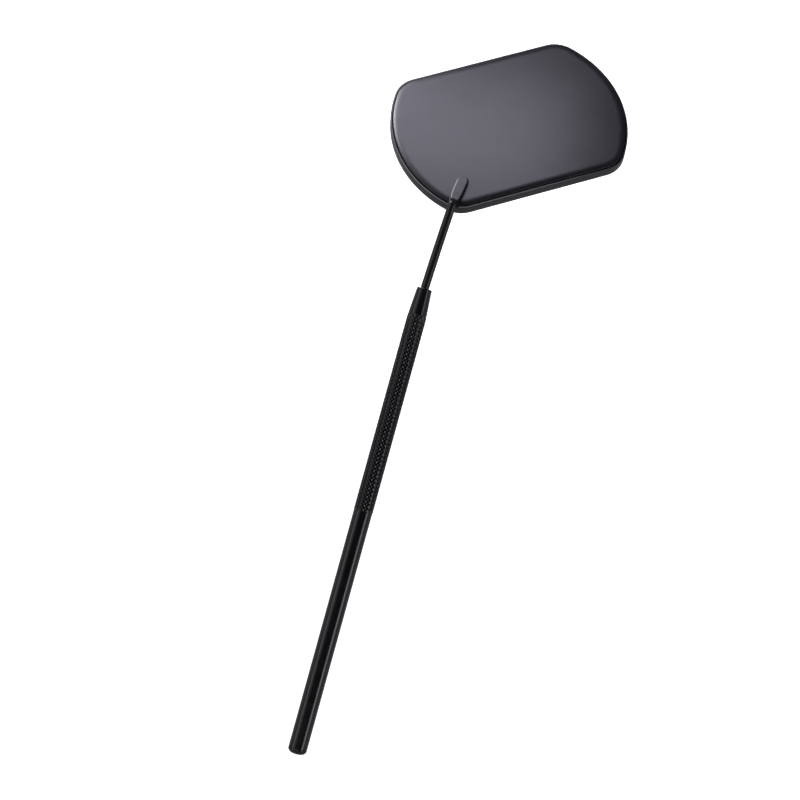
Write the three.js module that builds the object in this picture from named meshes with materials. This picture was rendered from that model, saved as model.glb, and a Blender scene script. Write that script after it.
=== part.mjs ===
// Mouth mirror: a flat head cut from a circle, a thin stem and a knurled handle.
// Millimetres. The handle lies along +Y with the centre of its butt face at the origin.
// The back of the head faces up (+Z), and the glass faces down.

import * as THREE from 'three';

// ---- Handle, measured along Y from the butt face ----
const TUBE_RADIUS = 3.1;
const KNURL_RADIUS = 3.25;
const BORE_RADIUS = 2.5;
const KNURL_START = 81.5;
const TAPER_START = 145.6;
const TUBE_END = 147.9;
const NOSE_END = 156.8;
const NOSE_RADIUS = 2.48;
const PLUG_HEIGHT = 1.8;
const DOME_HEIGHT = 1.6;
const BUTT_FACE_RADIUS = 1.0;
const SPIGOT_LENGTH = 9;
const SEAM_GAP = 0.1;
const NOSE_ROUNDING = 0.2;
const HANDLE_SIDES = 36;
const DOME_STEPS = 8;

// ---- Threaded ferrule in the mouth of the nose collar ----
const FERRULE_RADIUS = 1.9;
const FERRULE_LENGTH = 3.4;
const FERRULE_RECESS = 0.25;
const FERRULE_FLOOR = 0.8;
const THREAD_CREST_RADIUS = 1.25;
const THREAD_ROOT_RADIUS = 0.97;
const THREAD_PITCH = 0.45;
const THREAD_TURNS = 12.5;
const THREAD_SIDES = 16;
const THREAD_ROWS_PER_TURN = 4;

// ---- Head: a disc cut by two chords, with rounded corners ----
const HEAD_RADIUS = 39.7;
const HEAD_HALF_WIDTH = 27.6;
const CORNER_RADIUS = 9.4;
const HEAD_THICKNESS = 4.3;
const HEAD_CENTRE = new THREE.Vector3(12.5, 218.7, -19.8);
const HEAD_YAW = 9.9;
const HEAD_TILT = 30.9;
const HEAD_SPIN = 24.7;
const ARC_DIVISIONS = 10;
const ROLL_STEPS = 8;
const BEZEL_CORNER_STEPS = 3;

const EDGE_REACH = 3.4;
const EDGE_DROP = 0.78;
const PAN_SHEET = 0.55;
const PAN_INSET = 0.55;
const SKIRT_INSET = 1.0;
const SKIRT_DEPTH = 2.3;
const BEZEL_WALL = 0.75;
const BEZEL_CORNER = 0.45;
const BEZEL_ARRIS = 0.1;
const LIP_INSET = 2.6;
const LIP_THICKNESS = 0.8;
const GLASS_INSET = 1.8;
const GLASS_THICKNESS = 2.0;
const GLASS_ARRIS = 0.2;
const COATING_INSET = 2.2;
const COATING_THICKNESS = 0.1;
const PAD_INSET = 2.6;
const PAD_THICKNESS = 0.5;
const LAYER_GAP = 0.05;

// ---- Stem ----
const STEM_RADIUS = 1.4;
const STEM_SIDES = 20;
const SHAFT_STEPS = 14;
const BEND_STEPS = 8;
const PADDLE_STEPS = 14;
const SHAFT_END = new THREE.Vector3(1.2, 182.2, 0);
const SHAFT_LEAN_START = 2.1;
const SHAFT_LEAN_END = 3.4;
const PADDLE_ROOT = new THREE.Vector2(-30.2, -25.9);
const PADDLE_TIP = new THREE.Vector2(-22.5, -16.8);
const PADDLE_HALF_WIDTH = 1.85;
const PADDLE_HALF_THICKNESS = 0.5;
const BOND_THICKNESS = 0.12;
const BOND_STEPS = 8;

// Places along the paddle, as fractions of its length from the root to the tip.
const SPREAD_END = 0.4;
const THINNING_START = -0.1;
const THINNING_END = 1;
const BOND_START = 0.3;
const BOND_END = 0.98;

// Shares and exponents that shape the paddle.
const BOND_WIDTH_SHARE = 0.8;
const TIP_BLUNTNESS = 0.03;
const SOFT_CORNER_POWER = 0.6;
const TIP_ROW_CROWDING = 1.5;

const DEGREE = Math.PI / 180;

// ---------------------------------------------------------------- helpers

function material(colour, roughness, metalness) {
  return new THREE.MeshStandardMaterial({ color: colour, roughness, metalness });
}

const satinBlack = material(0x2b2b30, 0.45, 0.3);
const glossBlack = material(0x101012, 0.32, 0.4);
const steel = material(0xb9bcc0, 0.3, 1.0);
const silver = material(0xe8eaec, 0.05, 1.0);
const adhesive = material(0xd9d6cc, 0.8, 0.0);

function addMesh(parent, name, geometry, meshMaterial) {
  const mesh = new THREE.Mesh(geometry, meshMaterial);
  mesh.name = name;
  parent.add(mesh);
  return mesh;
}

// Turns a profile of [radius, y] points round the handle's axis.
function turned(profile, sides = HANDLE_SIDES) {
  return new THREE.LatheGeometry(profile.map(([radius, y]) => new THREE.Vector2(radius, y)), sides);
}

// Skins a row of rings of equal length. Each ring runs anticlockwise as seen from the ring
// before it, and an open row gets a fan at each end.
function skinned(rings, closedRow) {
  const count = rings[0].length;
  const points = rings.flat();
  const faces = [];
  const rows = closedRow ? rings.length : rings.length - 1;
  for (let row = 0; row < rows; row += 1) {
    const near = row * count;
    const far = ((row + 1) % rings.length) * count;
    for (let i = 0; i < count; i += 1) {
      const j = (i + 1) % count;
      faces.push(near + i, far + i, far + j, near + i, far + j, near + j);
    }
  }
  const addFan = (ring, start, reversed) => {
    const middle = ring.reduce((sum, p) => sum.add(p), new THREE.Vector3()).divideScalar(count);
    const hub = points.push(middle) - 1;
    for (let i = 0; i < count; i += 1) {
      const j = (i + 1) % count;
      faces.push(hub, start + (reversed ? j : i), start + (reversed ? i : j));
    }
  };
  if (!closedRow) {
    addFan(rings[0], 0, false);
    addFan(rings.at(-1), (rings.length - 1) * count, true);
  }
  const geometry = new THREE.BufferGeometry().setFromPoints(points);
  geometry.setIndex(faces);
  geometry.computeVertexNormals();
  return geometry;
}

// ---------------------------------------------------------------- handle

function collarRadius(y) {
  const slope = (NOSE_RADIUS - KNURL_RADIUS) / (NOSE_END - TAPER_START);
  return KNURL_RADIUS + slope * (y - TAPER_START);
}

function endPlug() {
  const profile = [[0, 0], [BUTT_FACE_RADIUS, 0]];
  for (let i = 1; i <= DOME_STEPS; i += 1) {
    const angle = (i / DOME_STEPS) * 90 * DEGREE;
    const radius = BUTT_FACE_RADIUS + (TUBE_RADIUS - BUTT_FACE_RADIUS) * Math.sin(angle);
    profile.push([radius, DOME_HEIGHT * (1 - Math.cos(angle))]);
  }
  const spigot = BORE_RADIUS - SEAM_GAP;
  profile.push([TUBE_RADIUS, PLUG_HEIGHT], [spigot, PLUG_HEIGHT]);
  profile.push([spigot, PLUG_HEIGHT + SPIGOT_LENGTH], [0, PLUG_HEIGHT + SPIGOT_LENGTH]);
  return turned(profile);
}

function handleTube() {
  const start = PLUG_HEIGHT + SEAM_GAP;
  const runIn = KNURL_RADIUS - TUBE_RADIUS;
  return turned([
    [BORE_RADIUS, start],
    [TUBE_RADIUS, start],
    [TUBE_RADIUS, KNURL_START],
    [KNURL_RADIUS, KNURL_START + runIn],
    [KNURL_RADIUS, TAPER_START],
    [collarRadius(TUBE_END), TUBE_END],
    [BORE_RADIUS, TUBE_END],
    [BORE_RADIUS, start],
  ]);
}

function noseCollar() {
  const start = TUBE_END + SEAM_GAP;
  const spigot = BORE_RADIUS - SEAM_GAP;
  const tapHole = THREAD_CREST_RADIUS + SEAM_GAP;
  const counterbore = FERRULE_RADIUS + SEAM_GAP;
  const counterboreFloor = FERRULE_SEAT - SEAM_GAP;
  return turned([
    [tapHole, start - SPIGOT_LENGTH],
    [spigot, start - SPIGOT_LENGTH],
    [spigot, start],
    [collarRadius(start), start],
    [collarRadius(NOSE_END - NOSE_ROUNDING), NOSE_END - NOSE_ROUNDING],
    [NOSE_RADIUS - NOSE_ROUNDING, NOSE_END],
    [counterbore, NOSE_END],
    [counterbore, counterboreFloor],
    [tapHole, counterboreFloor],
    [tapHole, start - SPIGOT_LENGTH],
  ]);
}

// ---------------------------------------------------------------- ferrule

const FERRULE_TOP = NOSE_END - FERRULE_RECESS;
const FERRULE_SEAT = FERRULE_TOP - FERRULE_LENGTH;
const SOCKET_FLOOR = FERRULE_SEAT + FERRULE_FLOOR;

// Height of the thread's ridge at a fraction of one pitch, from 0 in the root to 1 at the crest.
function threadRidge(fraction) {
  return 1 - Math.abs(2 * fraction - 1);
}

function threadedFerrule() {
  const threadLength = THREAD_TURNS * THREAD_PITCH;
  const threadStart = FERRULE_SEAT - threadLength;
  const rows = THREAD_TURNS * THREAD_ROWS_PER_TURN;
  const socket = STEM_RADIUS + SEAM_GAP;
  const profile = [[0, threadStart]];
  for (let row = 0; row <= rows; row += 1) {
    profile.push([THREAD_ROOT_RADIUS, threadStart + (row / rows) * threadLength]);
  }
  profile.push([FERRULE_RADIUS, FERRULE_SEAT], [FERRULE_RADIUS, FERRULE_TOP]);
  profile.push([socket, FERRULE_TOP], [socket, SOCKET_FLOOR], [0, SOCKET_FLOOR]);
  const geometry = turned(profile, THREAD_SIDES);
  const place = geometry.attributes.position;
  for (let side = 0; side <= THREAD_SIDES; side += 1) {
    for (let row = 1; row < rows; row += 1) {
      const index = side * profile.length + row + 1;
      const turn = row / THREAD_ROWS_PER_TURN - (side % THREAD_SIDES) / THREAD_SIDES;
      const ridge = threadRidge(turn - Math.floor(turn));
      const radius = THREAD_ROOT_RADIUS + (THREAD_CREST_RADIUS - THREAD_ROOT_RADIUS) * ridge;
      const scale = radius / THREAD_ROOT_RADIUS;
      place.setX(index, place.getX(index) * scale);
      place.setZ(index, place.getZ(index) * scale);
    }
  }
  return geometry;
}

// ---------------------------------------------------------------- head

// The head's outline moved inwards by inset, at a depth below the back face. Half of it is
// a corner, the side arc and the other corner, and the rest is that half turned round.
function headRing(inset, depth) {
  const cornerY = HEAD_HALF_WIDTH - CORNER_RADIUS;
  const cornerX = Math.sqrt((HEAD_RADIUS - CORNER_RADIUS) ** 2 - cornerY ** 2);
  const sweep = Math.atan2(cornerY, cornerX);
  const side = HEAD_RADIUS - inset;
  const corner = CORNER_RADIUS - inset;
  const arc = (x, y, radius, start, end) => (
    new THREE.EllipseCurve(x, y, radius, radius, start, end).getPoints(ARC_DIVISIONS)
  );
  const half = [
    ...arc(cornerX, -cornerY, corner, -Math.PI / 2, -sweep).slice(0, -1),
    ...arc(0, 0, side, -sweep, sweep).slice(0, -1),
    ...arc(cornerX, cornerY, corner, sweep, Math.PI / 2),
  ];
  const otherHalf = half.map((p) => p.clone().negate());
  return [...half, ...otherHalf].map((p) => new THREE.Vector3(p.x, p.y, -depth));
}

// A solid whose edge follows the head's outline. Its profile is a list of [inset, depth].
function headSolid(profile, closedRow = false) {
  return skinned(profile.map(([inset, depth]) => headRing(inset, depth)), closedRow);
}

const PAD_DEPTH = PAN_SHEET + LAYER_GAP;
const COATING_DEPTH = PAD_DEPTH + PAD_THICKNESS + LAYER_GAP;
const GLASS_DEPTH = COATING_DEPTH + COATING_THICKNESS + LAYER_GAP;

function backPan() {
  const profile = [];
  for (let i = 0; i <= ROLL_STEPS; i += 1) {
    const angle = (i / ROLL_STEPS) * 90 * DEGREE;
    const inset = PAN_INSET + EDGE_REACH * (1 - Math.sin(angle));
    profile.push([inset, EDGE_DROP * (1 - Math.cos(angle))]);
  }
  profile.push([SKIRT_INSET, EDGE_DROP], [SKIRT_INSET, SKIRT_DEPTH]);
  profile.push([SKIRT_INSET + PAN_SHEET, SKIRT_DEPTH], [SKIRT_INSET + PAN_SHEET, PAN_SHEET]);
  return headSolid(profile);
}

function bezelRing() {
  const top = EDGE_DROP + SEAM_GAP;
  const lipTop = HEAD_THICKNESS - LIP_THICKNESS;
  const profile = [[BEZEL_ARRIS, top], [0, top + BEZEL_ARRIS]];
  for (let i = 0; i <= BEZEL_CORNER_STEPS; i += 1) {
    const angle = (i / BEZEL_CORNER_STEPS) * 90 * DEGREE;
    const depth = HEAD_THICKNESS - BEZEL_CORNER * (1 - Math.sin(angle));
    profile.push([BEZEL_CORNER * (1 - Math.cos(angle)), depth]);
  }
  profile.push([LIP_INSET - BEZEL_ARRIS, HEAD_THICKNESS]);
  profile.push([LIP_INSET, HEAD_THICKNESS - BEZEL_ARRIS]);
  profile.push([LIP_INSET, lipTop], [BEZEL_WALL, lipTop], [BEZEL_WALL, top]);
  return headSolid(profile, true);
}

function mirrorGlass() {
  const front = GLASS_DEPTH + GLASS_THICKNESS;
  return headSolid([
    [GLASS_INSET + GLASS_ARRIS, GLASS_DEPTH],
    [GLASS_INSET, GLASS_DEPTH + GLASS_ARRIS],
    [GLASS_INSET, front - GLASS_ARRIS],
    [GLASS_INSET + GLASS_ARRIS, front],
  ]);
}

function flatSheet(inset, depth, thickness) {
  return headSolid([[inset, depth], [inset, depth + thickness]]);
}

// ---------------------------------------------------------------- stem

const paddleLine = PADDLE_TIP.clone().sub(PADDLE_ROOT);
const paddleLength = paddleLine.length();
const paddleAngle = paddleLine.angle();

// Half width of the leaf at a fraction of its length from the root, with a round tip.
function leafHalfWidth(fraction) {
  const spread = THREE.MathUtils.smoothstep(fraction, 0, SPREAD_END);
  const width = THREE.MathUtils.lerp(STEM_RADIUS, PADDLE_HALF_WIDTH, spread);
  const tip = PADDLE_HALF_WIDTH / paddleLength;
  const past = Math.max(0, (fraction - 1 + tip) / tip);
  return width * Math.sqrt(Math.max(TIP_BLUNTNESS, 1 - past * past));
}

function leafHalfThickness(fraction) {
  const thinning = THREE.MathUtils.smoothstep(fraction, THINNING_START, THINNING_END);
  return THREE.MathUtils.lerp(STEM_RADIUS, PADDLE_HALF_THICKNESS, thinning);
}

// A ring across the stem. Its section goes from round to a flat bar with soft corners.
function stemRing(centre, right, up, halfWidth, halfThickness, squareness) {
  const ring = [];
  const power = THREE.MathUtils.lerp(1, SOFT_CORNER_POWER, squareness);
  for (let i = 0; i < STEM_SIDES; i += 1) {
    const angle = (i / STEM_SIDES) * 2 * Math.PI;
    const across = Math.sign(Math.cos(angle)) * Math.abs(Math.cos(angle)) ** power;
    const above = Math.sign(Math.sin(angle)) * Math.abs(Math.sin(angle)) ** power;
    ring.push(centre.clone()
      .addScaledVector(right, across * halfWidth)
      .addScaledVector(up, above * halfThickness));
  }
  return ring;
}

function leaning(degrees) {
  return new THREE.Vector3(Math.sin(degrees * DEGREE), Math.cos(degrees * DEGREE), 0);
}

function stem(head) {
  const along = new THREE.Vector3(Math.cos(paddleAngle), Math.sin(paddleAngle), 0);
  const across = new THREE.Vector3(Math.sin(paddleAngle), -Math.cos(paddleAngle), 0);
  const off = new THREE.Vector3(0, 0, 1);
  for (const direction of [along, across, off]) {
    direction.transformDirection(head.matrixWorld);
  }
  const underside = BOND_THICKNESS + 2 * LAYER_GAP;
  const leafCentre = (fraction) => {
    const point = PADDLE_ROOT.clone().lerp(PADDLE_TIP, fraction);
    const height = underside + leafHalfThickness(fraction);
    return head.localToWorld(new THREE.Vector3(point.x, point.y, height));
  };

  const mouth = new THREE.Vector3(0, NOSE_END, 0);
  const reach = SHAFT_END.distanceTo(mouth) / 3;
  const shaft = new THREE.CubicBezierCurve3(
    mouth,
    mouth.clone().addScaledVector(leaning(SHAFT_LEAN_START), reach),
    SHAFT_END.clone().addScaledVector(leaning(SHAFT_LEAN_END), -reach),
    SHAFT_END,
  );
  const root = leafCentre(0);
  const bendReach = root.distanceTo(SHAFT_END) / 3;
  const bend = new THREE.CubicBezierCurve3(
    SHAFT_END,
    SHAFT_END.clone().addScaledVector(leaning(SHAFT_LEAN_END), bendReach),
    root.clone().addScaledVector(along, -bendReach),
    root,
  );

  const rings = [];
  const addRound = (centre, tangent) => {
    const right = new THREE.Vector3().crossVectors(tangent, off).normalize();
    const up = new THREE.Vector3().crossVectors(right, tangent).normalize();
    rings.push(stemRing(centre, right, up, STEM_RADIUS, STEM_RADIUS, 0));
  };
  addRound(new THREE.Vector3(0, SOCKET_FLOOR + SEAM_GAP, 0), new THREE.Vector3(0, 1, 0));
  for (const [curve, steps] of [[shaft, SHAFT_STEPS], [bend, BEND_STEPS]]) {
    for (let i = 0; i < steps; i += 1) {
      addRound(curve.getPoint(i / steps), curve.getTangent(i / steps));
    }
  }
  for (let i = 0; i <= PADDLE_STEPS; i += 1) {
    const fraction = 1 - (1 - i / PADDLE_STEPS) ** TIP_ROW_CROWDING;
    const squareness = THREE.MathUtils.smoothstep(fraction, 0, SPREAD_END);
    rings.push(stemRing(leafCentre(fraction), across, off, leafHalfWidth(fraction),
      leafHalfThickness(fraction), squareness));
  }
  return skinned(rings, false);
}

// The film under the flat part of the paddle.
function paddleBond() {
  const outline = [];
  for (let i = 0; i <= BOND_STEPS; i += 1) {
    const fraction = THREE.MathUtils.lerp(BOND_START, BOND_END, i / BOND_STEPS);
    const halfWidth = BOND_WIDTH_SHARE * leafHalfWidth(fraction);
    outline.push(new THREE.Vector2(fraction * paddleLength, halfWidth));
  }
  const mirrored = outline.map((p) => new THREE.Vector2(p.x, -p.y)).reverse();
  const shape = new THREE.Shape([...outline, ...mirrored]);
  return new THREE.ExtrudeGeometry(shape, { depth: BOND_THICKNESS, bevelEnabled: false });
}

// ---------------------------------------------------------------- assembly

const mirror = new THREE.Group();

addMesh(mirror, 'end_plug', endPlug(), glossBlack);
addMesh(mirror, 'handle_tube', handleTube(), glossBlack);
addMesh(mirror, 'nose_collar', noseCollar(), glossBlack);
addMesh(mirror, 'threaded_ferrule', threadedFerrule(), steel);

// The head turns in its own plane, tips away from the handle's line, then turns about +Z.
const yaw = new THREE.Group();
const tilt = new THREE.Group();
const head = new THREE.Group();
yaw.position.copy(HEAD_CENTRE);
yaw.rotation.z = HEAD_YAW * DEGREE;
tilt.rotation.x = -HEAD_TILT * DEGREE;
head.rotation.z = HEAD_SPIN * DEGREE;
mirror.add(yaw);
yaw.add(tilt);
tilt.add(head);
mirror.updateMatrixWorld(true);

addMesh(mirror, 'stem', stem(head), glossBlack);
addMesh(head, 'back_pan', backPan(), satinBlack);
addMesh(head, 'adhesive_pad', flatSheet(PAD_INSET, PAD_DEPTH, PAD_THICKNESS), adhesive);
addMesh(head, 'silver_coating', flatSheet(COATING_INSET, COATING_DEPTH, COATING_THICKNESS), silver);
addMesh(head, 'mirror_glass', mirrorGlass(), silver);
addMesh(head, 'bezel_ring', bezelRing(), satinBlack);

const bond = addMesh(head, 'paddle_bond', paddleBond(), steel);
bond.position.set(PADDLE_ROOT.x, PADDLE_ROOT.y, LAYER_GAP);
bond.rotation.z = paddleAngle;

export default mirror;
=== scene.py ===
"""Mouth mirror with a cut-circle head, a bent wire stem and a knurled handle.

Lengths are millimetres until build_mesh turns them into metres. The handle lies along +Y with the
centre of its butt face at the origin, and the painted back of the head faces up (+Z).
"""

import math

import bpy
import numpy as np
from mathutils import Matrix, Vector


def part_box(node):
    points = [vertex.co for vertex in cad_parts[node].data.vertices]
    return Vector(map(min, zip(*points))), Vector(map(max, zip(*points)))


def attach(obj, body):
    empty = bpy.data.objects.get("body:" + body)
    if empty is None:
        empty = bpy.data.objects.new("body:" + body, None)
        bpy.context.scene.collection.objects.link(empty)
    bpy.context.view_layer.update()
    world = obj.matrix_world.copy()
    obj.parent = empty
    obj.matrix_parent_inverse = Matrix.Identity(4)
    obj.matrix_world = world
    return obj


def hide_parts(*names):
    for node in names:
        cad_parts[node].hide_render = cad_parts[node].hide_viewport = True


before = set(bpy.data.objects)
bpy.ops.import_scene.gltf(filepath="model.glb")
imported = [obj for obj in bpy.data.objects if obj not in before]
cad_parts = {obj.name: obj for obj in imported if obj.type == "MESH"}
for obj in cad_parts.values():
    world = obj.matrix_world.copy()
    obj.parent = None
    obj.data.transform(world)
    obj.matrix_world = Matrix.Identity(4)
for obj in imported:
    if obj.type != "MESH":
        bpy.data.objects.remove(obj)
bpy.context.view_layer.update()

MM = 0.001


# ---------------------------------------------------------------- sizes

def node_span(node):
    """Where a lathe-turned node starts and ends along the handle."""
    low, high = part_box(node)
    return low.y / MM, high.y / MM


TUBE_START, TUBE_END = node_span("handle_tube")
NOSE_END = node_span("nose_collar")[1]
PLUG_HEIGHT = 1.8
SEAM_GAP = TUBE_START - PLUG_HEIGHT

TUBE_RADIUS = 3.1
BORE_RADIUS = 2.5
NOSE_RADIUS = 2.48
KNURL_START = 81.5
TAPER_START = 145.6
SPIGOT_LENGTH = 9.0

KNURL_CREST = 3.25
KNURL_ROOT = 3.0
KNURL_COUNT = 20
KNURL_PITCH = 1.46
KNURL_CELLS = 4
KNURL_RUN_IN = 0.9
KNURL_RUN_OUT = 0.5

BUTT_FACE_RADIUS = 1.0
DOME_HEIGHT = 1.6
DOME_STEPS = 16
BROKEN_EDGE = 0.06
SEAM_SHOULDER = 0.01
NOSE_ROUNDING = 0.22

FERRULE_RADIUS = 1.9
FERRULE_LENGTH = 3.4
FERRULE_RECESS = 0.25
FERRULE_FLOOR = 0.8
FERRULE_EDGE = 0.12
THREAD_CREST = 1.25
THREAD_ROOT = 0.97
THREAD_PITCH = 0.45
THREAD_TURNS = 12.5
THREAD_LEAD_IN = 0.6
THREAD_LEAD_OUT = 0.3

HEAD_RADIUS = 39.7
HEAD_HALF_WIDTH = 27.6
CORNER_RADIUS = 9.4
HEAD_THICKNESS = 4.3
HEAD_CENTRE = Vector((12.5, 218.7, -19.8))
HEAD_YAW = 9.9
HEAD_TILT = 30.9
HEAD_SPIN = 24.7

PAN_INSET = 0.8
PAN_SHEET = 0.55
EDGE_REACH = 2.2
EDGE_DROP = 0.55
EDGE_STEPS = 24
SKIRT_INSET = 1.0
SKIRT_DEPTH = 2.3
BEZEL_TOP = 0.88
LEDGE_WIDTH = 0.5
GROOVE_DEPTH = 0.6
BEZEL_WALL = 0.75
BEZEL_CORNER = 0.45
BEZEL_ARRIS = 0.08
LIP_INSET = 2.6
LIP_THICKNESS = 0.8
LIP_ROUNDING = 0.1
GLASS_INSET = 1.8
GLASS_DEPTH = 1.25
GLASS_THICKNESS = 2.0
GLASS_BEVEL = 0.2

STEM_RADIUS = 1.4
SHAFT_END = Vector((1.2, 182.2, 0.0))
SHAFT_LEAN_START = 2.1
SHAFT_LEAN_END = 3.4
PADDLE_ROOT = Vector((-30.2, -25.9))
PADDLE_TIP = Vector((-22.5, -16.8))
PADDLE_HALF_WIDTH = 2.0
PADDLE_HALF_THICKNESS = 0.5
PADDLE_UNDERSIDE = 0.22
PADDLE_WIDE_FROM = 0.5
PADDLE_THIN_FROM = 0.2
PADDLE_THINNING_STARTS = -0.1
PADDLE_TIP_BLUNTNESS = 0.03
PADDLE_SQUARENESS = 0.3
PADDLE_CHAMFER_SHARE = 0.24
PADDLE_CHAMFER_DROP = 0.15

CAMERA_DISTANCE = 780.0
CAMERA_ROLL = 15.43
CAMERA_LENS = 108.0
VIEW_CENTRE = Vector((1.91, 119.81, 0.0))


# ---------------------------------------------------------------- mesh helpers

def build_mesh(name, points, faces, sharp_angle=35.0):
    """A smooth-shaded object from points in millimetres, creased where faces meet sharply."""
    mesh = bpy.data.meshes.new(name)
    mesh.from_pydata([tuple(c * MM for c in p) for p in points], [], faces)
    mesh.validate()
    mesh.shade_smooth()
    mesh.set_sharp_from_angle(angle=math.radians(sharp_angle))
    piece = bpy.data.objects.new(name, mesh)
    bpy.context.scene.collection.objects.link(piece)
    return piece


def skinned(rings, closed_row=False):
    """Points and faces of a skin over a row of rings, with a flat cap at each end of an open row."""
    count = len(rings[0])
    points = [p for ring in rings for p in ring]
    faces = []
    for row in range(len(rings) if closed_row else len(rings) - 1):
        near = row * count
        far = (row + 1) % len(rings) * count
        for i in range(count):
            j = (i + 1) % count
            faces.append((near + i, far + i, far + j, near + j))
    if not closed_row:
        faces.append(tuple(range(count)))
        faces.append(tuple(reversed(range(len(points) - count, len(points)))))
    return points, faces


def turned(profile, sides=96):
    """Points and faces of a closed lathe shape. The profile is a loop of (radius, y)."""
    rings = []
    for step in range(sides):
        angle = 2 * math.pi * step / sides
        rings.append([(r * math.sin(angle), y, r * math.cos(angle)) for r, y in profile])
    return skinned(rings, closed_row=True)


def arc(centre_x, centre_y, radius, start, end, steps):
    """Points on an arc, angles in degrees."""
    angles = np.radians(np.linspace(start, end, steps + 1))
    return [(centre_x + radius * math.cos(a), centre_y + radius * math.sin(a)) for a in angles]


def smoothstep(value, low, high):
    t = min(max((value - low) / (high - low), 0.0), 1.0)
    return t * t * (3 - 2 * t)


def mix(a, b, share):
    return a + (b - a) * share


# ---------------------------------------------------------------- materials

def new_material(name):
    """A material with its shader, its node tree and an object-space coordinate output."""
    material = bpy.data.materials.new(name)
    material.use_nodes = True
    tree = material.node_tree
    shader = tree.nodes["Principled BSDF"]
    place = tree.nodes.new("ShaderNodeTexCoord").outputs["Object"]
    return material, tree, shader, place


def noise(tree, place, feature_mm, detail=2.0):
    """Noise whose features are about this many millimetres across."""
    node = tree.nodes.new("ShaderNodeTexNoise")
    node.inputs["Scale"].default_value = 1.0 / (feature_mm * MM)
    node.inputs["Detail"].default_value = detail
    tree.links.new(place, node.inputs["Vector"])
    return node.outputs["Fac"]


def map_range(tree, value, start, end, low, high):
    """Maps start to end onto low to high, and holds both ends."""
    node = tree.nodes.new("ShaderNodeMapRange")
    node.inputs["From Min"].default_value = start
    node.inputs["From Max"].default_value = end
    node.inputs["To Min"].default_value = low
    node.inputs["To Max"].default_value = high
    tree.links.new(value, node.inputs["Value"])
    return node.outputs["Result"]


def spread(tree, factor, low, high):
    """Maps the middle of a noise onto low to high."""
    return map_range(tree, factor, 0.3, 0.7, low, high)


def blend_colours(tree, factor, first, second, mode="MIX"):
    """Mixes two colours. Each is given as numbers or as another node's output."""
    node = tree.nodes.new("ShaderNodeMix")
    node.data_type = "RGBA"
    node.blend_type = mode
    for side, colour in (("A", first), ("B", second)):
        if isinstance(colour, tuple):
            node.inputs[side].default_value = (*colour, 1.0)
        else:
            tree.links.new(colour, node.inputs[side])
    if isinstance(factor, float):
        node.inputs["Factor"].default_value = factor
    else:
        tree.links.new(factor, node.inputs["Factor"])
    return node.outputs["Result"]


def math_node(tree, kind, operation, *values):
    """A maths node of a kind, whose inputs are numbers or other nodes' outputs."""
    node = tree.nodes.new(kind)
    node.operation = operation
    for slot, value in zip(node.inputs, values):
        if isinstance(value, bpy.types.NodeSocket):
            tree.links.new(value, slot)
        else:
            slot.default_value = value
    return node


def add_bump(tree, shader, height, strength, distance_mm):
    node = tree.nodes.new("ShaderNodeBump")
    node.inputs["Strength"].default_value = strength
    node.inputs["Distance"].default_value = distance_mm * MM
    tree.links.new(height, node.inputs["Height"])
    tree.links.new(node.outputs["Normal"], shader.inputs["Normal"])


def paint(name, dark, light, roughness, grain_mm, bump_mm, wear=0.03):
    """Black paint: slow colour drift, roughness that varies, and a fine sprayed texture."""
    material, tree, shader, place = new_material(name)
    drift = spread(tree, noise(tree, place, 9.0, 3.0), 0.0, 1.0)
    tree.links.new(blend_colours(tree, drift, dark, light), shader.inputs["Base Color"])
    sheen = spread(tree, noise(tree, place, 2.5, 4.0), roughness - wear, roughness + wear)
    tree.links.new(sheen, shader.inputs["Roughness"])
    add_bump(tree, shader, noise(tree, place, grain_mm, 2.0), 1.0, bump_mm)
    return material


def metal(name, dark, light, roughness, streak_mm, stretch):
    """Bare metal with fine streaks that run the way the part was worked."""
    material, tree, shader, place = new_material(name)
    mapping = tree.nodes.new("ShaderNodeMapping")
    mapping.inputs["Scale"].default_value = stretch
    tree.links.new(place, mapping.inputs["Vector"])
    streaks = noise(tree, mapping.outputs["Vector"], streak_mm, 4.0)
    colour = blend_colours(tree, spread(tree, streaks, 0.0, 1.0), dark, light)
    tree.links.new(colour, shader.inputs["Base Color"])
    sheen = spread(tree, streaks, roughness - 0.06, roughness + 0.06)
    tree.links.new(sheen, shader.inputs["Roughness"])
    shader.inputs["Metallic"].default_value = 1.0
    add_bump(tree, shader, streaks, 0.3, 0.01)
    return material


def mirror_finish(name):
    """Polished mirror: a faint cool tint and wiping marks that only show in the roughness."""
    material, tree, shader, place = new_material(name)
    wipes = noise(tree, place, 14.0, 5.0)
    colour = blend_colours(tree, wipes, (0.86, 0.89, 0.90), (0.92, 0.94, 0.94))
    tree.links.new(colour, shader.inputs["Base Color"])
    tree.links.new(spread(tree, wipes, 0.015, 0.045), shader.inputs["Roughness"])
    shader.inputs["Metallic"].default_value = 1.0
    return material


def foam(name):
    """Cream foam tape with open cells."""
    material, tree, shader, place = new_material(name)
    cells = tree.nodes.new("ShaderNodeTexVoronoi")
    cells.inputs["Scale"].default_value = 1.0 / (0.35 * MM)
    tree.links.new(place, cells.inputs["Vector"])
    colour = blend_colours(tree, cells.outputs["Distance"], (0.80, 0.78, 0.72), (0.60, 0.58, 0.52))
    tree.links.new(colour, shader.inputs["Base Color"])
    tree.links.new(spread(tree, cells.outputs["Distance"], 0.7, 0.9), shader.inputs["Roughness"])
    add_bump(tree, shader, cells.outputs["Distance"], 0.6, 0.08)
    return material


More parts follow.
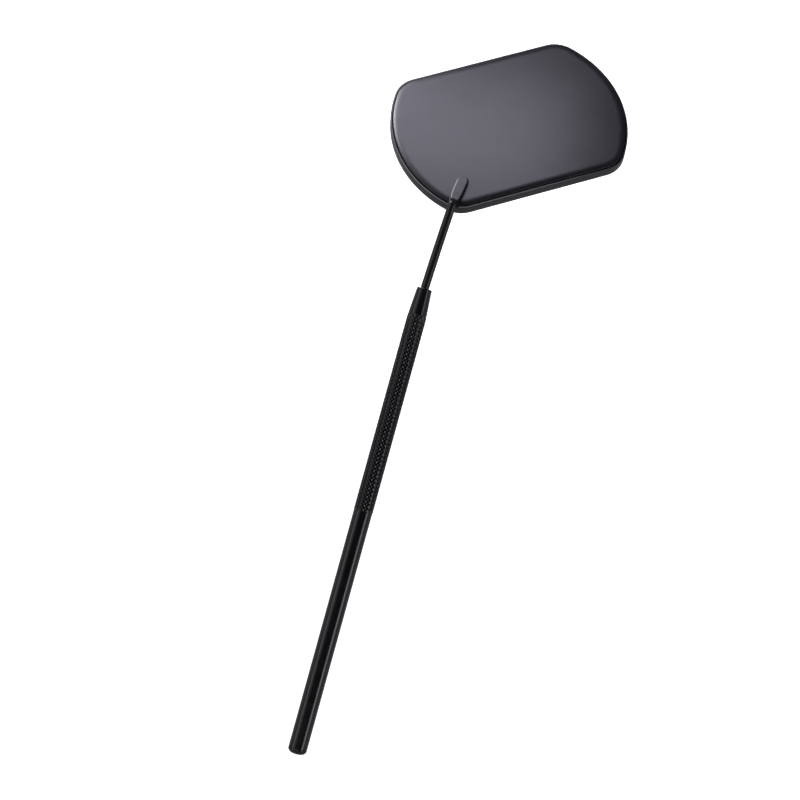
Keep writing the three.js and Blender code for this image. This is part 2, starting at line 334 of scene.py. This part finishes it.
def grip_finish(name):
    """The handle's lacquer, with a knurl worn to dark metal on its points and painted shade over pooled
    lacquer turning its grooves near black.
    """
    material = paint(name, *LACQUER)
    tree = material.node_tree
    shader = tree.nodes["Principled BSDF"]
    lacquer = shader.inputs["Base Color"].links[0].from_socket
    place = tree.nodes.new("ShaderNodeTexCoord").outputs["Object"]

    across = math_node(tree, "ShaderNodeVectorMath", "MULTIPLY", place, (1.0, 0.0, 1.0))
    radius = math_node(tree, "ShaderNodeVectorMath", "LENGTH", across.outputs["Vector"])
    groove = mix(KNURL_ROOT, KNURL_CREST, 0.1) * MM
    point = mix(KNURL_ROOT, KNURL_CREST, 0.8) * MM
    wear_and_groove_shade = map_range(tree, radius.outputs["Value"], groove, point, 0.0, 1.0)

    split = tree.nodes.new("ShaderNodeSeparateXYZ")
    tree.links.new(place, split.inputs["Vector"])
    along = split.outputs["Y"]
    starts = map_range(tree, along, KNURL_START * MM, (KNURL_START + KNURL_RUN_IN) * MM, 0.0, 1.0)
    ends = map_range(tree, along, (TAPER_START - KNURL_RUN_OUT) * MM, TAPER_START * MM, 1.0, 0.0)
    knurled = math_node(tree, "ShaderNodeMath", "MULTIPLY", starts, ends).outputs["Value"]

    # Painted shade: the grooves get a near black colour; the lighter metal on the points is wear.
    wear_and_shade_colour = blend_colours(tree, wear_and_groove_shade, (0.004, 0.004, 0.005), (0.14, 0.14, 0.146))
    tree.links.new(blend_colours(tree, knurled, lacquer, wear_and_shade_colour), shader.inputs["Base Color"])
    tree.links.new(knurled, shader.inputs["Metallic"])
    return material


LACQUER = ((0.006, 0.006, 0.007), (0.011, 0.011, 0.013), 0.20, 0.30, 0.002)
handle_lacquer = paint("handle_lacquer", *LACQUER)
grip_lacquer = grip_finish("grip_lacquer")
stem_lacquer = paint("stem_lacquer", (0.005, 0.005, 0.006), (0.010, 0.010, 0.012), 0.31, 0.30, 0.002)
pan_paint = paint("pan_paint", (0.010, 0.010, 0.012), (0.014, 0.014, 0.017), 0.31, 0.22, 0.006,
                  wear=0.008)
bezel_paint = paint("bezel_paint", (0.008, 0.008, 0.009), (0.012, 0.012, 0.013), 0.30, 0.22, 0.004)
turned_steel = metal("turned_steel", (0.50, 0.50, 0.52), (0.68, 0.68, 0.70), 0.28, 0.5, (0.2, 8.0, 0.2))
braze = metal("braze_metal", (0.62, 0.50, 0.26), (0.78, 0.66, 0.40), 0.35, 0.6, (1.0, 1.0, 1.0))
silver = metal("silver_layer", (0.80, 0.80, 0.79), (0.90, 0.90, 0.89), 0.14, 4.0, (1.0, 1.0, 1.0))
mirror_plate = mirror_finish("mirror_plate")
pad_foam = foam("pad_foam")


def finish_piece(piece, material, slot, body, *nodes):
    """Gives a new piece its material and its body, and hides the nodes it stands for. The slot it is
    given is not used.
    """
    piece.data.materials.append(material)
    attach(piece, body)
    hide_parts(*nodes)


def repaint(node, material):
    """Gives a carried-over CAD node its finish."""
    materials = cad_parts[node].data.materials
    materials.clear()
    materials.append(material)


# ---------------------------------------------------------------- handle

def collar_radius(y):
    """The taper from the knurl's crest down to the nose."""
    return mix(KNURL_CREST, NOSE_RADIUS, (y - TAPER_START) / (NOSE_END - TAPER_START))


def butt_plug():
    """The rounded end of the handle, with a small flat in the middle and a spigot in the tube."""
    reach = TUBE_RADIUS - BUTT_FACE_RADIUS
    spigot = BORE_RADIUS - SEAM_GAP
    top = PLUG_HEIGHT + SPIGOT_LENGTH
    profile = [(0.0, 0.0)]
    for across, above in arc(0.0, 0.0, 1.0, -90, 0, DOME_STEPS):
        profile.append((BUTT_FACE_RADIUS + across * reach, DOME_HEIGHT + above * DOME_HEIGHT))
    profile += [
        (TUBE_RADIUS, PLUG_HEIGHT - BROKEN_EDGE),
        (TUBE_RADIUS - BROKEN_EDGE, PLUG_HEIGHT),
        (spigot, PLUG_HEIGHT),
        (spigot, top),
        (0.0, top),
    ]
    piece = build_mesh("butt_plug", *turned(profile))
    finish_piece(piece, handle_lacquer, "handle_lacquer", "handle", "end_plug")


def nose_cone():
    """The tapered end of the handle: a flat mouth, a counterbore and a tapped hole."""
    start = TUBE_END + SEAM_GAP
    spigot = BORE_RADIUS - SEAM_GAP
    counterbore = FERRULE_RADIUS + SEAM_GAP
    floor = NOSE_END - FERRULE_RECESS - FERRULE_LENGTH - SEAM_GAP
    tap_hole = THREAD_CREST + SEAM_GAP
    lip = arc(NOSE_RADIUS - NOSE_ROUNDING, NOSE_END - NOSE_ROUNDING, NOSE_ROUNDING, 0, 90, 8)
    profile = [
        (tap_hole, start - SPIGOT_LENGTH),
        (spigot, start - SPIGOT_LENGTH),
        (spigot, start),
        (collar_radius(start) - BROKEN_EDGE, start),
        (collar_radius(start) - SEAM_SHOULDER, start + BROKEN_EDGE),
        *lip,
        (counterbore + BROKEN_EDGE, NOSE_END),
        (counterbore, NOSE_END - BROKEN_EDGE),
        (counterbore, floor),
        (tap_hole, floor),
    ]
    piece = build_mesh("nose_cone", *turned(profile))
    finish_piece(piece, handle_lacquer, "handle_lacquer", "handle", "nose_collar")


def knurl_height(around, along):
    """Diamond height from 0 in the grooves to 1 at the points, from two crossed sets of grooves."""
    ridges = []
    for phase in (around + along, around - along):
        ridges.append(1 - abs(2 * (phase % 1.0) - 1))
    return min(ridges)


def knurled_tube():
    """The handle's tube, smooth below and knurled above, with its bore."""
    columns = KNURL_COUNT * KNURL_CELLS
    rows = round((TUBE_END - KNURL_START) / KNURL_PITCH * KNURL_CELLS)
    grip = [KNURL_START + row * KNURL_PITCH / KNURL_CELLS for row in range(rows)]
    plain = [
        (TUBE_RADIUS - BROKEN_EDGE, TUBE_START),
        (TUBE_RADIUS, TUBE_START + BROKEN_EDGE),
        (TUBE_RADIUS, mix(TUBE_START, KNURL_START, 0.5)),
    ]
    mouth = [
        (collar_radius(TUBE_END) - SEAM_SHOULDER, TUBE_END - BROKEN_EDGE),
        (collar_radius(TUBE_END) - BROKEN_EDGE, TUBE_END),
        (BORE_RADIUS, TUBE_END),
        (BORE_RADIUS, TUBE_START),
    ]
    rings = []
    for column in range(columns):
        angle = 2 * math.pi * column / columns
        around = column / KNURL_CELLS
        profile = list(plain)
        for row, y in enumerate(grip):
            height = knurl_height(around, row / KNURL_CELLS)
            cut = mix(KNURL_ROOT, KNURL_CREST, height)
            radius = mix(TUBE_RADIUS, cut, smoothstep(y, KNURL_START, KNURL_START + KNURL_RUN_IN))
            if y > TAPER_START:
                radius = min(radius, collar_radius(y))
            profile.append((radius, y))
        profile += mouth
        rings.append([(r * math.sin(angle), y, r * math.cos(angle)) for r, y in profile])
    piece = build_mesh("knurled_tube", *skinned(rings, closed_row=True), sharp_angle=12.0)
    finish_piece(piece, grip_lacquer, "handle_lacquer", "handle", "handle_tube")


# ---------------------------------------------------------------- ferrule

def ferrule_screw():
    """The turned ferrule: a helical thread below and a socket for the stem above."""
    sides = 48
    rows_per_turn = 12
    top = NOSE_END - FERRULE_RECESS
    seat = top - FERRULE_LENGTH
    length = THREAD_TURNS * THREAD_PITCH
    rows = round(THREAD_TURNS * rows_per_turn)
    socket = STEM_RADIUS + SEAM_GAP
    rings = []
    for side in range(sides):
        angle = 2 * math.pi * side / sides
        profile = [(0.0, seat - length)]
        for row in range(rows + 1):
            turn = row / rows_per_turn - side / sides
            ridge = 1 - abs(2 * (turn % 1.0) - 1)
            lead_in = smoothstep(row / rows_per_turn, 0, THREAD_LEAD_IN)
            lead_out = smoothstep((rows - row) / rows_per_turn, 0, THREAD_LEAD_OUT)
            radius = mix(THREAD_ROOT, THREAD_CREST, ridge * min(lead_in, lead_out))
            profile.append((radius, seat - length + row / rows * length))
        profile += [(FERRULE_RADIUS - FERRULE_EDGE, seat), (FERRULE_RADIUS, seat + FERRULE_EDGE)]
        profile += [(FERRULE_RADIUS, top - FERRULE_EDGE), (FERRULE_RADIUS - FERRULE_EDGE, top)]
        profile += [(socket, top), (socket, seat + FERRULE_FLOOR), (0.0, seat + FERRULE_FLOOR)]
        rings.append([(r * math.sin(angle), y, r * math.cos(angle)) for r, y in profile])
    piece = build_mesh("ferrule_screw", *skinned(rings, closed_row=True))
    finish_piece(piece, turned_steel, "turned_steel", "ferrule", "threaded_ferrule")


# ---------------------------------------------------------------- head

head_place = (
    Matrix.Translation(HEAD_CENTRE)
    @ Matrix.Rotation(math.radians(HEAD_YAW), 4, "Z")
    @ Matrix.Rotation(math.radians(-HEAD_TILT), 4, "X")
    @ Matrix.Rotation(math.radians(HEAD_SPIN), 4, "Z")
)


def head_ring(inset, depth, corner_steps=24, side_steps=48):
    """The head's outline moved inwards by inset, at a depth below the back face."""
    corner_y = HEAD_HALF_WIDTH - CORNER_RADIUS
    corner_x = math.sqrt((HEAD_RADIUS - CORNER_RADIUS) ** 2 - corner_y ** 2)
    sweep = math.degrees(math.atan2(corner_y, corner_x))
    corner = CORNER_RADIUS - inset
    half = arc(corner_x, -corner_y, corner, -90, -sweep, corner_steps)[:-1]
    half += arc(0.0, 0.0, HEAD_RADIUS - inset, -sweep, sweep, side_steps)[:-1]
    half += arc(corner_x, corner_y, corner, sweep, 90, corner_steps)
    outline = half + [(-x, -y) for x, y in half]
    return [head_place @ Vector((x, y, -depth)) for x, y in outline]


def head_solid(profile, closed_row=False):
    return skinned([head_ring(inset, depth) for inset, depth in profile], closed_row)


def back_panel():
    """The pressed and painted back: flat, then falling away to a drooping edge, and a skirt."""
    profile = []
    for step in range(EDGE_STEPS + 1):
        angle = math.radians(90 * step / EDGE_STEPS)
        inset = PAN_INSET + EDGE_REACH * (1 - math.sin(angle))
        profile.append((inset, EDGE_DROP * (1 - math.cos(angle))))
    profile += [(SKIRT_INSET, EDGE_DROP), (SKIRT_INSET, SKIRT_DEPTH)]
    profile += [(SKIRT_INSET + PAN_SHEET, SKIRT_DEPTH), (SKIRT_INSET + PAN_SHEET, PAN_SHEET)]
    piece = build_mesh("back_panel", *head_solid(profile))
    finish_piece(piece, pan_paint, "pan_paint", "head", "back_pan")


def bezel_band():
    """The ring round the edge, with a lip over the front of the glass."""
    front = HEAD_THICKNESS
    lip_back = front - LIP_THICKNESS
    profile = [(BEZEL_ARRIS, BEZEL_TOP), (0.0, BEZEL_TOP + BEZEL_ARRIS)]
    profile += arc(BEZEL_CORNER, front - BEZEL_CORNER, BEZEL_CORNER, 180, 90, 8)
    profile += arc(LIP_INSET - LIP_ROUNDING, front - LIP_ROUNDING, LIP_ROUNDING, 90, 0, 4)
    profile += [(LIP_INSET, lip_back), (BEZEL_WALL, lip_back)]
    profile += [(BEZEL_WALL, BEZEL_TOP + GROOVE_DEPTH), (LEDGE_WIDTH, BEZEL_TOP)]
    piece = build_mesh("bezel_band", *head_solid(profile, closed_row=True))
    finish_piece(piece, bezel_paint, "bezel_paint", "head", "bezel_ring")


def glass_plate():
    """The glass, with bevelled edges."""
    front = GLASS_DEPTH + GLASS_THICKNESS
    profile = [
        (GLASS_INSET + GLASS_BEVEL, GLASS_DEPTH),
        (GLASS_INSET, GLASS_DEPTH + GLASS_BEVEL),
        (GLASS_INSET, front - GLASS_BEVEL),
        (GLASS_INSET + GLASS_BEVEL, front),
    ]
    piece = build_mesh("glass_plate", *head_solid(profile), sharp_angle=20.0)
    finish_piece(piece, mirror_plate, "mirror_plate", "head", "mirror_glass")


# ---------------------------------------------------------------- stem

def leaf_half_width(fraction):
    """Half width of the paddle at a fraction of its length, ending in a round tip."""
    width = mix(STEM_RADIUS, PADDLE_HALF_WIDTH, smoothstep(fraction, 0, PADDLE_WIDE_FROM))
    tip = PADDLE_HALF_WIDTH / (PADDLE_TIP - PADDLE_ROOT).length
    past = max(0.0, (fraction - 1 + tip) / tip)
    return width * math.sqrt(max(PADDLE_TIP_BLUNTNESS, 1 - past * past))


def leaf_half_thickness(fraction):
    thinned = smoothstep(fraction, PADDLE_THINNING_STARTS, PADDLE_THIN_FROM)
    return mix(STEM_RADIUS, PADDLE_HALF_THICKNESS, thinned)


def stem_ring(centre, right, up, half_width, half_thickness, squareness, sides=40):
    """A ring across the stem, from round to a flat bar with chamfered edges on top."""
    power = mix(1.0, PADDLE_SQUARENESS, squareness)
    ring = []
    for side in range(sides):
        angle = 2 * math.pi * side / sides
        across = math.copysign(abs(math.cos(angle)) ** power, math.cos(angle))
        above = math.copysign(abs(math.sin(angle)) ** power, math.sin(angle))
        rise = above * half_thickness
        if rise > 0:
            into_chamfer = max(0.0, 1 - (1 - abs(across)) / PADDLE_CHAMFER_SHARE)
            rise -= squareness * PADDLE_CHAMFER_DROP * into_chamfer
        ring.append(centre + right * (across * half_width) + up * rise)
    return ring


def leaning(degrees):
    return Vector((math.sin(math.radians(degrees)), math.cos(math.radians(degrees)), 0.0))


def bezier(points, share):
    """Place and direction on a cubic curve."""
    a, b, c, d = points
    rest = 1 - share
    place = a * rest ** 3 + b * (3 * rest ** 2 * share) + c * (3 * rest * share ** 2) + d * share ** 3
    direction = (b - a) * rest ** 2 + (c - b) * (2 * rest * share) + (d - c) * share ** 2
    return place, direction.normalized()


def stem_wire():
    """The wire from the ferrule's socket to the head, and the paddle forged at its end."""
    line = (PADDLE_TIP - PADDLE_ROOT).normalized()
    turn = head_place.to_3x3()
    along = turn @ Vector((line.x, line.y, 0.0))
    across = turn @ Vector((line.y, -line.x, 0.0))
    off = turn @ Vector((0.0, 0.0, 1.0))

    def leaf_centre(fraction):
        flat = PADDLE_ROOT.lerp(PADDLE_TIP, fraction)
        return head_place @ Vector((flat.x, flat.y, PADDLE_UNDERSIDE + leaf_half_thickness(fraction)))

    mouth = Vector((0.0, NOSE_END, 0.0))
    root = leaf_centre(0.0)
    reach = (SHAFT_END - mouth).length / 3
    bend_reach = (root - SHAFT_END).length / 3
    shaft = [mouth, mouth + leaning(SHAFT_LEAN_START) * reach,
             SHAFT_END - leaning(SHAFT_LEAN_END) * reach, SHAFT_END]
    bend = [SHAFT_END, SHAFT_END + leaning(SHAFT_LEAN_END) * bend_reach,
            root - along * bend_reach, root]

    rings = []

    def add_round(centre, direction):
        right = direction.cross(off).normalized()
        up = right.cross(direction).normalized()
        rings.append(stem_ring(centre, right, up, STEM_RADIUS, STEM_RADIUS, 0.0))

    socket = NOSE_END - FERRULE_RECESS - FERRULE_LENGTH + FERRULE_FLOOR + SEAM_GAP
    add_round(Vector((0.0, socket, 0.0)), Vector((0.0, 1.0, 0.0)))
    for curve, steps in ((shaft, 40), (bend, 24)):
        for step in range(steps):
            add_round(*bezier(curve, step / steps))
    paddle_steps = 40
    for step in range(paddle_steps + 1):
        fraction = 1 - (1 - step / paddle_steps) ** 1.5
        rings.append(stem_ring(leaf_centre(fraction), across, off, leaf_half_width(fraction),
                               leaf_half_thickness(fraction),
                               smoothstep(fraction, 0, PADDLE_THIN_FROM)))
    piece = build_mesh("stem_wire", *skinned(rings), sharp_angle=40.0)
    finish_piece(piece, stem_lacquer, "stem_lacquer", "head", "stem")


butt_plug()
knurled_tube()
nose_cone()
ferrule_screw()
back_panel()
bezel_band()
glass_plate()
stem_wire()
repaint("paddle_bond", braze)
repaint("silver_coating", silver)
repaint("adhesive_pad", pad_foam)


# ---------------------------------------------------------------- stage, light and camera

FLOOR_DROP = 110.0
WINDOW_TINT = (0.87, 0.845, 1.0)
RIGHT_TINT = (0.92, 0.92, 1.0)
head_middle = head_place @ Vector((0.0, 0.0, 0.0))


def floor():
    """A pale, faintly glowing floor that the object's surfaces don't pick up."""
    bpy.ops.mesh.primitive_plane_add(size=12.0, location=(0.0, 0.12, -FLOOR_DROP * MM))
    plane = bpy.context.object
    plane.name = "floor"
    material, tree, shader, place = new_material("floor")
    wear_and_shade_colour = blend_colours(tree, noise(tree, place, 400.0), (0.90, 0.90, 0.90), (0.93, 0.93, 0.93))
    tree.links.new(wear_and_shade_colour, shader.inputs["Base Color"])
    shader.inputs["Roughness"].default_value = 0.9
    shader.inputs["Emission Color"].default_value = (1.0, 1.0, 1.0, 1.0)
    shader.inputs["Emission Strength"].default_value = 0.85
    plane.data.materials.append(material)
    plane.visible_glossy = False
    plane.visible_diffuse = False


def softbox(name, place, target, width, height, power, colour=(1.0, 1.0, 1.0)):
    """A rectangular light at a place, facing a target, both in millimetres."""
    data = bpy.data.lights.new(name, "AREA")
    data.shape = "RECTANGLE"
    data.size = width * MM
    data.size_y = height * MM
    data.energy = power
    data.color = colour
    lamp = bpy.data.objects.new(name, data)
    lamp.location = place * MM
    lamp.rotation_euler = (target - place).to_track_quat("-Z", "Y").to_euler()
    bpy.context.scene.collection.objects.link(lamp)


def lights():
    """Windows and a glow for the painted head to reflect, and long boxes beside the handle."""
    head_left = head_middle + Vector((-30.0, -7.0, 2.0))
    for name, across, height, width, tall, power in (
        ("window_far_left", -130.0, 68.0, 65.0, 76.0, 0.192),
        ("window_left", -70.0, 32.0, 65.0, 94.0, 0.101),
        ("window_middle", -4.0, 69.0, 78.0, 58.0, 0.077),
    ):
        place = head_left + Vector((across, 160.0, height))
        softbox(name, place, head_left, width, tall, power, WINDOW_TINT)
    glow = head_left + Vector((-216.0, 198.0, 36.0))
    softbox("left_glow", glow, head_left, 90.0, 90.0, 0.5)
    handle_middle = Vector((0.0, 100.0, 0.0))
    for name, x, z, tall, power in (
        ("left_strip", -520.0, 290.0, 190.0, 0.52),
        ("left_fill", -390.0, 460.0, 170.0, 0.17),
    ):
        softbox(name, Vector((x, 100.0, z)), handle_middle, 700.0, tall, power)
    for name, y, length, tall, power in (
        ("right_strip", -30.0, 260.0, 190.0, 0.50),
        ("right_fill", 250.0, 300.0, 170.0, 0.29),
    ):
        place = Vector((500.0, y, 330.0))
        softbox(name, place, Vector((0.0, y, 0.0)), length, tall, power, RIGHT_TINT)
    softbox("behind_camera", Vector((0.0, -380.0, 1030.0)), head_middle, 900.0, 200.0, 0.8)


def fade(tree, value, start, start_colour, end, end_colour):
    """A colour ramp between two points of a value."""
    node = tree.nodes.new("ShaderNodeValToRGB")
    for stop, place, colour in zip(node.color_ramp.elements, (start, end), (start_colour, end_colour)):
        stop.position = place
        stop.color = (*colour, 1.0)
    tree.links.new(value, node.inputs["Fac"])
    return node.outputs["Color"]


def sky():
    """A tent that is pale low down, dark overhead and dim beyond the head, before a pale backdrop."""
    world = bpy.data.worlds.new("sky")
    world.use_nodes = True
    tree = world.node_tree
    direction = tree.nodes.new("ShaderNodeSeparateXYZ")
    place = tree.nodes.new("ShaderNodeTexCoord").outputs["Generated"]
    tree.links.new(place, direction.inputs["Vector"])
    up, beyond = direction.outputs["Z"], direction.outputs["Y"]
    overhead = fade(tree, up, 0.40, (0.36, 0.36, 0.38), 0.62, (0.01, 0.01, 0.01))
    dimming = fade(tree, beyond, 0.30, (1.0, 1.0, 1.0), 0.65, (0.10, 0.10, 0.10))
    tent = blend_colours(tree, 1.0, overhead, dimming, "MULTIPLY")
    seen_directly = tree.nodes.new("ShaderNodeLightPath").outputs["Is Camera Ray"]
    colour = blend_colours(tree, seen_directly, tent, (0.95, 0.95, 0.95))
    tree.links.new(colour, tree.nodes["Background"].inputs["Color"])
    bpy.context.scene.world = world


def camera():
    """Straight above the object, turned so that the handle leans as it does in the photograph."""
    data = bpy.data.cameras.new("camera")
    data.lens = CAMERA_LENS
    data.clip_start = 0.01
    data.clip_end = 20.0
    view = bpy.data.objects.new("camera", data)
    view.location = (VIEW_CENTRE + Vector((0.0, 0.0, CAMERA_DISTANCE))) * MM
    view.rotation_euler = (0.0, 0.0, math.radians(CAMERA_ROLL))
    bpy.context.scene.collection.objects.link(view)
    bpy.context.scene.camera = view


floor()
sky()
lights()
camera()
bpy.context.scene.view_settings.view_transform = "Standard"
